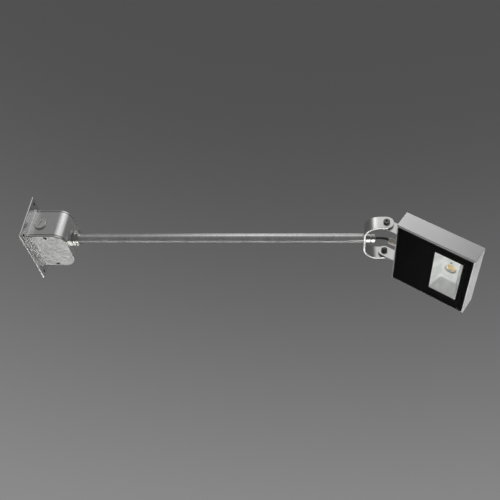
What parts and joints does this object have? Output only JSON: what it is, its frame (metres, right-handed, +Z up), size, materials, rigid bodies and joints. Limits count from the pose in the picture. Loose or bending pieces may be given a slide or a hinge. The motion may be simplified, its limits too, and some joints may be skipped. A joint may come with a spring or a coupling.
{
  "type": "picture light",
  "caption": "Wall-mounted picture light: a terminal box carries a long tube arm whose yoke holds a flat rectangular LED head that tilts and rolls.",
  "frame": {"origin": "centre of the four wall holes, in the wall's plane and on the arm's axis", "axes": "+X out of the wall along the arm, +Z up, +Y along the wall to the left as seen from the room"},
  "size_m": [0.9618, 0.183, 0.1828],
  "materials": {
    "grey_paint": "satin silver-grey powder coat on aluminium",
    "cover_paint": "satin light silver-grey powder coat on aluminium",
    "tube_paint": "satin silver-grey paint on a steel tube",
    "head_paint": "satin light silver-grey powder coat on aluminium",
    "yoke_metal": "finely brushed stainless steel",
    "stainless": "plain stainless steel",
    "dark_steel": "dark oiled steel",
    "nickel": "bright nickel plate",
    "brass": "plain brass",
    "seal_rubber": "matt black",
    "lead_jacket": "smooth black jacket",
    "white_plastic": "matt white",
    "reflector_white": "satin off-white reflector paint",
    "clear_glass": "clear polished glass",
    "black_print": "black enamel print fired on the glass",
    "led_phosphor": "yellow phosphor gel, unlit",
    "spreader_metal": "milled aluminium",
    "driver_case": "matt dark grey potted case"
  },
  "bodies": {
    "wall_box": {"wall_plate": "grey_paint", "base_flange": "grey_paint", "box_shell": "grey_paint", "top_cover": "cover_paint", "bottom_cover": "cover_paint", "top_gasket": "seal_rubber", "bottom_gasket": "seal_rubber", "top_cover_screws": "dark_steel", "bottom_cover_screws": "dark_steel", "box_screws": "stainless", "side_plug": "nickel", "side_plug_seal": "seal_rubber", "cable_grommet": "seal_rubber", "terminal_block": "white_plastic", "terminal_screws": "stainless", "earth_screw": "brass", "box_lead": "lead_jacket", "fitting_body": "nickel", "fitting_ring": "seal_rubber", "fitting_nut": "nickel", "fitting_seal": "seal_rubber", "fitting_locknut": "nickel"},
    "arm": {"arm_tube": "tube_paint", "tube_stop_ring": "stainless", "tube_end_plug": "stainless", "yoke_nipple": "nickel", "yoke": "yoke_metal", "yoke_washer": "stainless", "yoke_nut": "nickel", "arm_gland_body": "nickel", "arm_gland_nut": "nickel", "arm_gland_seal": "seal_rubber", "arm_lead": "lead_jacket", "bridge_lead": "lead_jacket"},
    "head": {"head_bracket": "yoke_metal", "bracket_screws": "stainless", "pivot_screws": "dark_steel", "pivot_washers": "stainless", "pivot_nuts": "dark_steel", "head_gland_body": "nickel", "head_gland_nut": "nickel", "head_gland_seal": "seal_rubber", "head_lead": "lead_jacket", "head_housing": "head_paint", "front_glass": "clear_glass", "glass_print": "black_print", "glass_gasket": "seal_rubber", "back_cover": "head_paint", "back_gasket": "seal_rubber", "back_screws": "stainless", "reflector": "reflector_white", "reflector_screw": "dark_steel", "led_holder": "white_plastic", "led_board": "spreader_metal", "led_emitter": "led_phosphor", "heat_spreader": "spreader_metal", "driver": "driver_case", "driver_screws": "stainless", "led_wires": "lead_jacket"}
  },
  "joints": [
    {"name": "arm_roll", "type": "hinge", "parent": "wall_box", "child": "arm", "pos_m": [0.092, 0, 0], "axis": [1, 0, 0], "range_deg": [-90, 90]},
    {"name": "head_tilt", "type": "hinge", "parent": "arm", "child": "head", "pos_m": [0.781, 0, 0], "axis": [0, 1, 0], "range_deg": [-90, 55], "deforming": ["bridge_lead"]}
  ]
}
